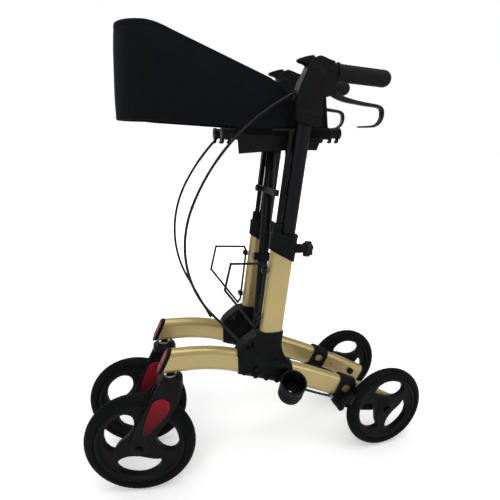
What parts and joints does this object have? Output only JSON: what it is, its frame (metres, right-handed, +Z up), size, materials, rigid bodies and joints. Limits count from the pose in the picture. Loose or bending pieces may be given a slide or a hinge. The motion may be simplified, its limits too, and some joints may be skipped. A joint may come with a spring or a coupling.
{
  "type": "rollator walker",
  "caption": "Folding side-by-side rollator walker, folded: arched side frames, wire holders, casters, loop-brake handles, wrap-round backrest band, cane cup.",
  "frame": {"origin": "on the floor at the middle of the folded walker's footprint box; the walker's own centre plane is at y = -13.61 mm because the cane cup stands out on the left", "axes": "+X forward (away from the user), +Y to the user's left, +Z up from the floor"},
  "size_m": [0.7742, 0.2862, 0.921],
  "materials": {
    "champagne_paint": "glossy metallic paint",
    "black_metal": "satin powder coat",
    "black_anodised": "black anodised",
    "black_plastic": "fine moulded texture",
    "red_plastic": "gloss translucent",
    "steel": "zinc plated",
    "chrome": "bright",
    "tyre": "matt",
    "rubber": "moulded grip",
    "cable_jacket": "smooth jacket",
    "seat_cloth": "woven nylon",
    "band_cloth": "woven nylon, bound edges"
  },
  "bodies": {
    "left_frame": {"left_lower_tube": "champagne_paint", "left_upright": "champagne_paint", "left_hub": "black_plastic", "left_collar": "black_plastic", "left_tube_caps": "black_plastic", "left_reflector": "red_plastic", "left_wire_holder": "black_metal", "left_rear_bracket": "black_plastic", "left_hardware": "steel", "left_cable": "cable_jacket", "cane_cup": "black_plastic"},
    "left_rear_wheel": {"left_rear_rim": "black_plastic", "left_rear_tyre": "tyre"},
    "left_brake": {"left_brake_arm": "black_metal"},
    "left_caster": {"left_fork": "black_plastic", "left_fork_inserts": "red_plastic", "left_caster_pins": "chrome"},
    "left_front_wheel": {"left_front_rim": "black_plastic", "left_front_tyre": "tyre"},
    "left_handle": {"left_handle_tube": "black_anodised", "left_handle_body": "black_plastic", "left_grip": "rubber"},
    "left_lever": {"left_brake_lever": "black_plastic"},
    "left_height_knob": {"left_knob": "black_plastic"},
    "left_rail": {"left_seat_rail": "black_metal"},
    "left_seat_a": {"left_seat_outer": "seat_cloth"},
    "left_seat_b": {"left_seat_inner": "seat_cloth"},
    "left_band_arm": {"left_back_arm": "band_cloth"},
    "left_band_tip": {"left_back_tip": "band_cloth"},
    "right_frame": {"right_lower_tube": "champagne_paint", "right_upright": "champagne_paint", "right_hub": "black_plastic", "right_collar": "black_plastic", "right_tube_caps": "black_plastic", "right_reflector": "red_plastic", "right_wire_holder": "black_metal", "right_rear_bracket": "black_plastic", "right_hardware": "steel", "right_cable": "cable_jacket"},
    "right_rear_wheel": {"right_rear_rim": "black_plastic", "right_rear_tyre": "tyre"},
    "right_brake": {"right_brake_arm": "black_metal"},
    "right_caster": {"right_fork": "black_plastic", "right_fork_inserts": "red_plastic", "right_caster_pins": "chrome"},
    "right_front_wheel": {"right_front_rim": "black_plastic", "right_front_tyre": "tyre"},
    "right_handle": {"right_handle_tube": "black_anodised", "right_handle_body": "black_plastic", "right_grip": "rubber"},
    "right_lever": {"right_brake_lever": "black_plastic"},
    "right_height_knob": {"right_knob": "black_plastic"},
    "right_rail": {"right_seat_rail": "black_metal"},
    "right_seat_a": {"right_seat_outer": "seat_cloth"},
    "right_seat_b": {"right_seat_inner": "seat_cloth"},
    "right_band_arm": {"right_back_arm": "band_cloth"},
    "right_band_tip": {"right_back_tip": "band_cloth"},
    "brace_a": {"cross_tube_a": "black_metal", "pivot_bolt": "black_metal"},
    "brace_b": {"cross_tube_b": "black_metal"}
  },
  "joints": [
    {"name": "fold", "type": "hinge", "parent": "left_frame", "child": "brace_a", "pos_m": [0.00586, 0.02239, 0.24], "axis": [0.9903, 0, 0.1392], "range_deg": [0, 42], "deforming": ["left_seat_outer", "left_seat_inner", "right_seat_outer", "right_seat_inner", "left_back_arm", "left_back_tip", "right_back_arm", "right_back_tip"]},
    {"name": "cross_pivot", "type": "hinge", "parent": "brace_a", "child": "brace_b", "pos_m": [-0.02685, -0.01361, 0.47271], "axis": [0.9903, 0, 0.1392], "range_deg": [-84, 0]},
    {"name": "right_base_pivot", "type": "hinge", "parent": "brace_b", "child": "right_frame", "pos_m": [0.00586, -0.04961, 0.24], "axis": [0.9903, 0, 0.1392], "range_deg": [0, 42]},
    {"name": "right_rail_pivot", "type": "hinge", "parent": "brace_a", "child": "right_rail", "pos_m": [-0.05955, -0.04961, 0.70543], "axis": [0.9903, 0, 0.1392], "range_deg": [-42, 0]},
    {"name": "left_rail_pivot", "type": "hinge", "parent": "brace_b", "child": "left_rail", "pos_m": [-0.05955, 0.02239, 0.70543], "axis": [0.9903, 0, 0.1392], "range_deg": [0, 42]},
    {"name": "left_seat_hinge", "type": "hinge", "parent": "left_rail", "child": "left_seat_a", "pos_m": [-0.04714, 0.02239, 0.738], "axis": [1, 0, 0], "range_deg": [0, 78.72]},
    {"name": "left_seat_crease", "type": "hinge", "parent": "left_seat_a", "child": "left_seat_b", "pos_m": [-0.04714, 0.00439, 0.82822], "axis": [1, 0, 0], "range_deg": [-157.43, 0]},
    {"name": "left_rear_wheel_spin", "type": "hinge", "parent": "left_frame", "child": "left_rear_wheel", "pos_m": [-0.28714, 0.09039, 0.1], "axis": [0, 1, 0], "continuous": true},
    {"name": "left_caster_swivel", "type": "hinge", "parent": "left_frame", "child": "left_caster", "pos_m": [0.20686, 0.05839, 0.23], "axis": [0, 0, 1], "range_deg": [-15, 195]},
    {"name": "left_front_wheel_spin", "type": "hinge", "parent": "left_caster", "child": "left_front_wheel", "pos_m": [0.27533, 0.04383, 0.114], "axis": [0.2079, 0.9781, 0], "continuous": true},
    {"name": "left_handle_height", "type": "slide", "parent": "left_frame", "child": "left_handle", "axis": [-0.1392, 0, 0.9903], "range_m": [0, 0.1], "deforming": ["left_cable"]},
    {"name": "left_lever_squeeze", "type": "hinge", "parent": "left_handle", "child": "left_lever", "pos_m": [-0.12314, 0.06639, 0.815], "axis": [0, 1, 0], "range_deg": [0, 10], "stiffness_Nm_per_rad": 2},
    {"name": "left_brake_shoe", "type": "hinge", "parent": "left_frame", "child": "left_brake", "pos_m": [-0.16614, 0.05839, 0.128], "axis": [0, 1, 0], "range_deg": [-2.2, 0]},
    {"name": "left_knob_turn", "type": "hinge", "parent": "left_frame", "child": "left_height_knob", "pos_m": [-0.03242, 0.05839, 0.51232], "axis": [0.9903, 0, 0.1392], "range_deg": [0, 360]},
    {"name": "left_band_swing", "type": "hinge", "parent": "left_handle", "child": "left_band_arm", "pos_m": [-0.05514, 0.04439, 0.786], "axis": [0, 0, 1], "range_deg": [-30.21, 0]},
    {"name": "left_band_flex", "type": "hinge", "parent": "left_band_arm", "child": "left_band_tip", "pos_m": [0.24551, 0.02033, 0.838], "axis": [0, 0, 1], "range_deg": [0, 30.21]},
    {"name": "right_seat_hinge", "type": "hinge", "parent": "right_rail", "child": "right_seat_a", "pos_m": [-0.04714, -0.04961, 0.738], "axis": [1, 0, 0], "range_deg": [-78.72, 0]},
    {"name": "right_seat_crease", "type": "hinge", "parent": "right_seat_a", "child": "right_seat_b", "pos_m": [-0.04714, -0.03161, 0.82822], "axis": [1, 0, 0], "range_deg": [0, 157.43]},
    {"name": "right_rear_wheel_spin", "type": "hinge", "parent": "right_frame", "child": "right_rear_wheel", "pos_m": [-0.28714, -0.11761, 0.1], "axis": [0, 1, 0], "continuous": true},
    {"name": "right_caster_swivel", "type": "hinge", "parent": "right_frame", "child": "right_caster", "pos_m": [0.20686, -0.08561, 0.23], "axis": [0, 0, 1], "range_deg": [-193, 17]},
    {"name": "right_front_wheel_spin", "type": "hinge", "parent": "right_caster", "child": "right_front_wheel", "pos_m": [0.27478, -0.10255, 0.114], "axis": [0.2419, 0.9703, 0], "continuous": true},
    {"name": "right_handle_height", "type": "slide", "parent": "right_frame", "child": "right_handle", "axis": [-0.1392, 0, 0.9903], "range_m": [0, 0.1], "deforming": ["right_cable"]},
    {"name": "right_lever_squeeze", "type": "hinge", "parent": "right_handle", "child": "right_lever", "pos_m": [-0.12314, -0.09361, 0.815], "axis": [0, 1, 0], "range_deg": [0, 10], "stiffness_Nm_per_rad": 2},
    {"name": "right_brake_shoe", "type": "hinge", "parent": "right_frame", "child": "right_brake", "pos_m": [-0.16614, -0.08561, 0.128], "axis": [0, 1, 0], "range_deg": [-2.2, 0]},
    {"name": "right_knob_turn", "type": "hinge", "parent": "right_frame", "child": "right_height_knob", "pos_m": [-0.03242, -0.08561, 0.51232], "axis": [0.9903, 0, 0.1392], "range_deg": [0, 360]},
    {"name": "right_band_swing", "type": "hinge", "parent": "right_handle", "child": "right_band_arm", "pos_m": [-0.05514, -0.07161, 0.786], "axis": [0, 0, 1], "range_deg": [0, 30.21]},
    {"name": "right_band_flex", "type": "hinge", "parent": "right_band_arm", "child": "right_band_tip", "pos_m": [0.24551, -0.04755, 0.838], "axis": [0, 0, 1], "range_deg": [-30.21, 0]}
  ],
  "couplings": [
    {"joint": "cross_pivot", "follows": "fold", "ratio": -2},
    {"joint": "right_base_pivot", "follows": "fold", "ratio": 1},
    {"joint": "right_rail_pivot", "follows": "fold", "ratio": -1},
    {"joint": "left_rail_pivot", "follows": "fold", "ratio": 1},
    {"joint": "left_seat_hinge", "follows": "fold", "ratio": 1.8742},
    {"joint": "left_seat_crease", "follows": "fold", "ratio": -3.7484},
    {"joint": "left_band_swing", "follows": "fold", "ratio": -0.7192},
    {"joint": "left_band_flex", "follows": "fold", "ratio": 0.7192},
    {"joint": "left_brake_shoe", "follows": "left_lever_squeeze", "ratio": -0.22},
    {"joint": "right_seat_hinge", "follows": "fold", "ratio": -1.8742},
    {"joint": "right_seat_crease", "follows": "fold", "ratio": 3.7484},
    {"joint": "right_band_swing", "follows": "fold", "ratio": 0.7192},
    {"joint": "right_band_flex", "follows": "fold", "ratio": -0.7192},
    {"joint": "right_brake_shoe", "follows": "right_lever_squeeze", "ratio": -0.22}
  ]
}
